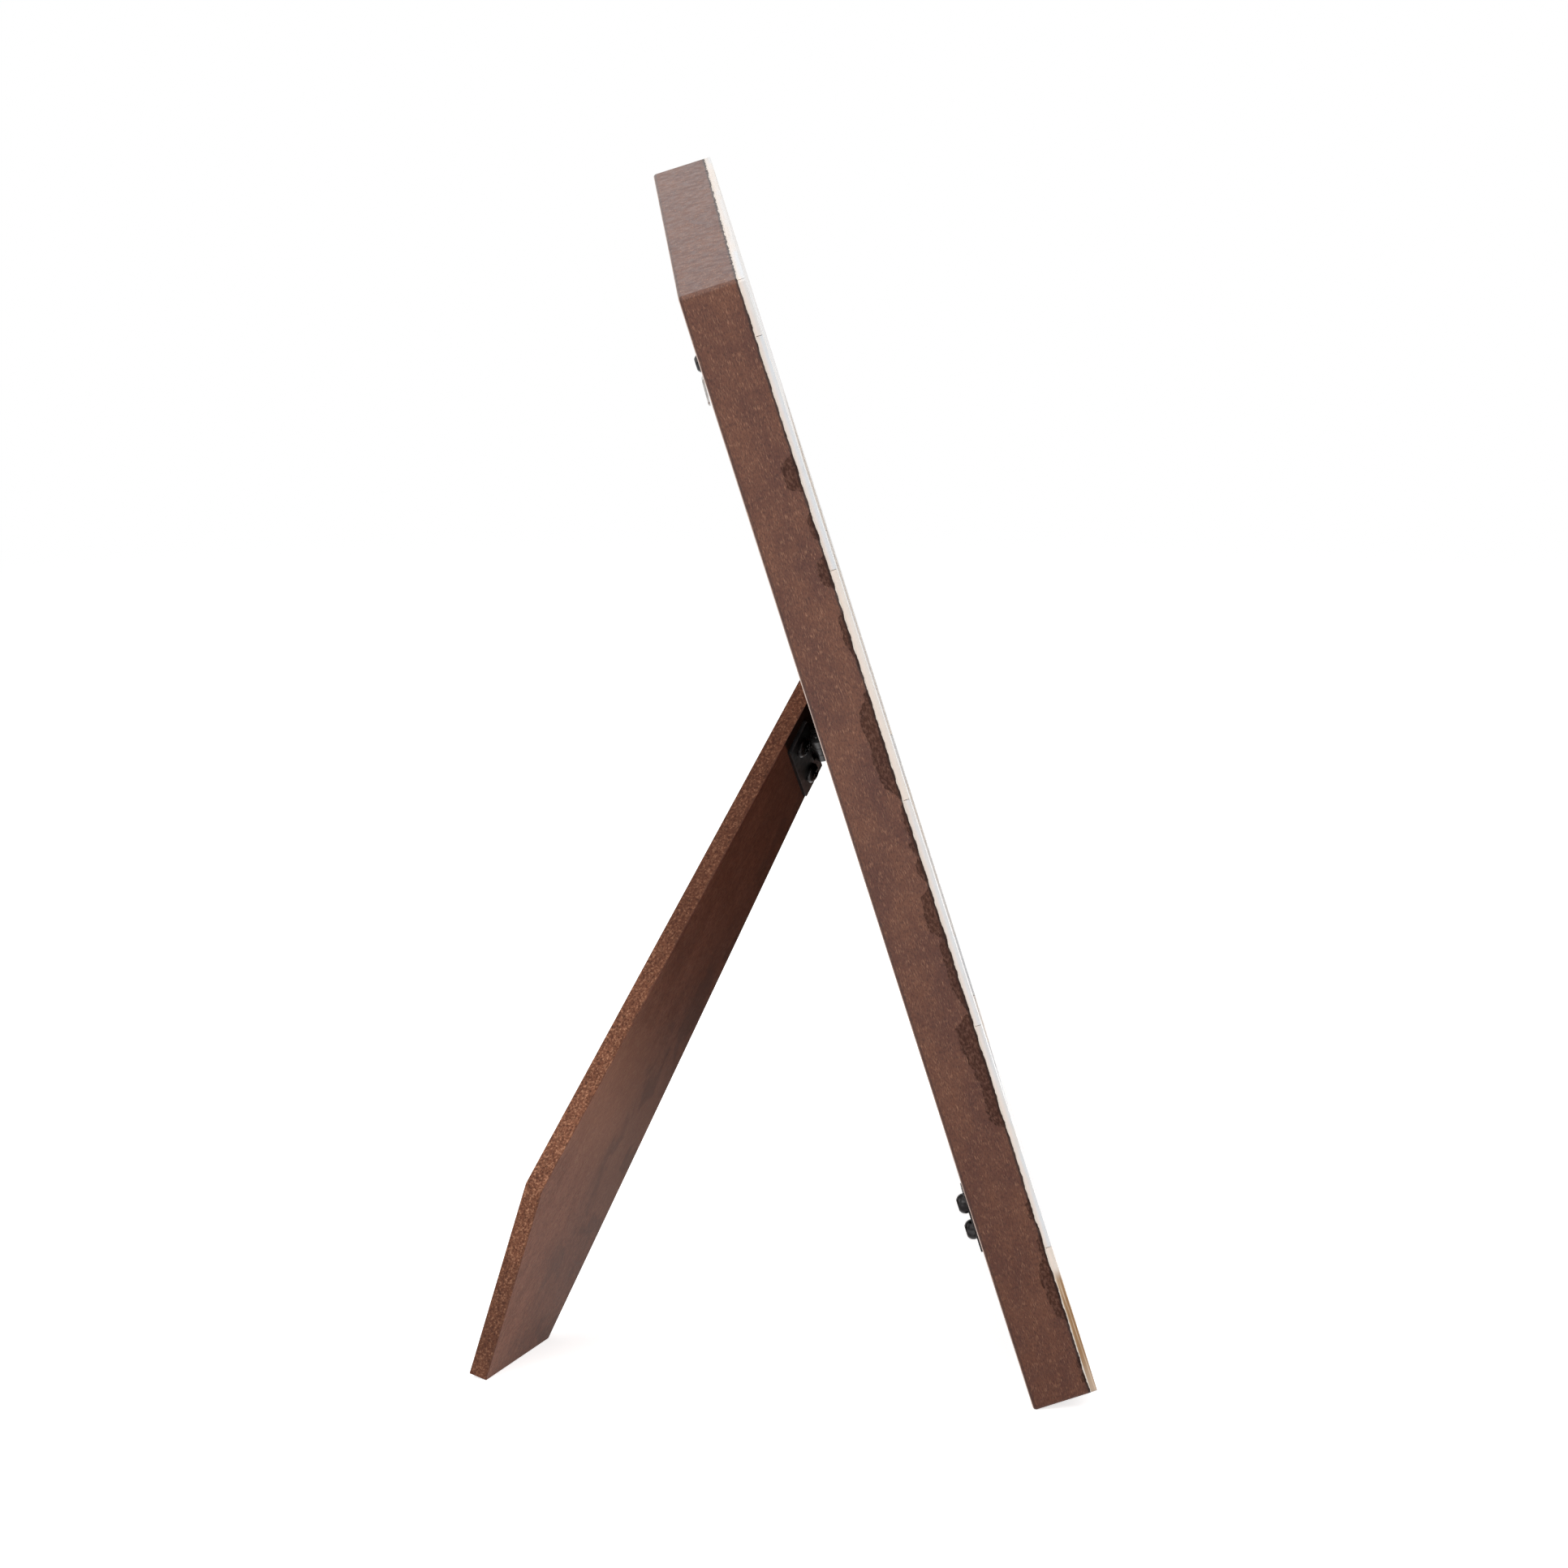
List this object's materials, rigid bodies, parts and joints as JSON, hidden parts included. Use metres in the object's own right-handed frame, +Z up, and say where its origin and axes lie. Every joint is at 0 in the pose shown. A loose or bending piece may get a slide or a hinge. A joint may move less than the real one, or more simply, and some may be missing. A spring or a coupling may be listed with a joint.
{
  "type": "easel-back picture frame",
  "caption": "Tabletop picture frame of mitred brown boards faced with pale tiles, with a glazed print, a removable backing board and a hinged diagonal easel leg.",
  "frame": {"origin": "on the shelf, below the middle of the standing frame's box", "axes": "+Z up, front of the frame faces -Y and leans back towards +Y, +X to the right seen from the front"},
  "size_m": [0.229, 0.1494, 0.2717],
  "materials": {
    "stained_board": "brown stained fibreboard, matt, with short pale fibres and darker stain at the front edge",
    "leg_hardboard": "brown stained thin fibreboard with granular orange-brown cut edges",
    "pale_tile": "polished cream tile with hairline joints and faint streaks",
    "clear_glass": "clear polished",
    "print_paper": "satin photographic paper",
    "grey_card": "uncoated grey card",
    "black_steel": "semi-gloss black enamel with worn edges",
    "bright_steel": "bright spring steel"
  },
  "bodies": {
    "frame": {"left_stile": "stained_board", "bottom_rail": "stained_board", "right_stile": "stained_board", "top_rail": "stained_board", "left_tiles": "pale_tile", "bottom_tiles": "pale_tile", "right_tiles": "pale_tile", "top_tiles": "pale_tile", "corner_v_nails": "bright_steel", "glass_pane": "clear_glass", "photo_print": "print_paper", "backing_card": "grey_card", "backing_board": "stained_board", "retainer_left": "black_steel", "retainer_right": "black_steel", "retainer_screws": "black_steel", "turn_button_screw": "black_steel", "hinge_fixed_leaf": "black_steel", "fixed_leaf_screws": "black_steel", "hinge_pin": "black_steel"},
    "leg": {"leg_board": "leg_hardboard", "hinge_leg_leaf": "black_steel", "leg_leaf_screws": "black_steel"},
    "turn_button": {"turn_button": "bright_steel"}
  },
  "joints": [
    {"name": "leg_fold", "type": "hinge", "parent": "frame", "child": "leg", "pos_m": [0.0022, -0.01423, 0.1368], "axis": [-0.7741, 0.1893, 0.6041], "range_deg": [0, 40.96]},
    {"name": "turn_button_swivel", "type": "hinge", "parent": "frame", "child": "turn_button", "pos_m": [0, 0.01411, 0.2346], "axis": [0, 0.9542, -0.299], "continuous": true}
  ]
}
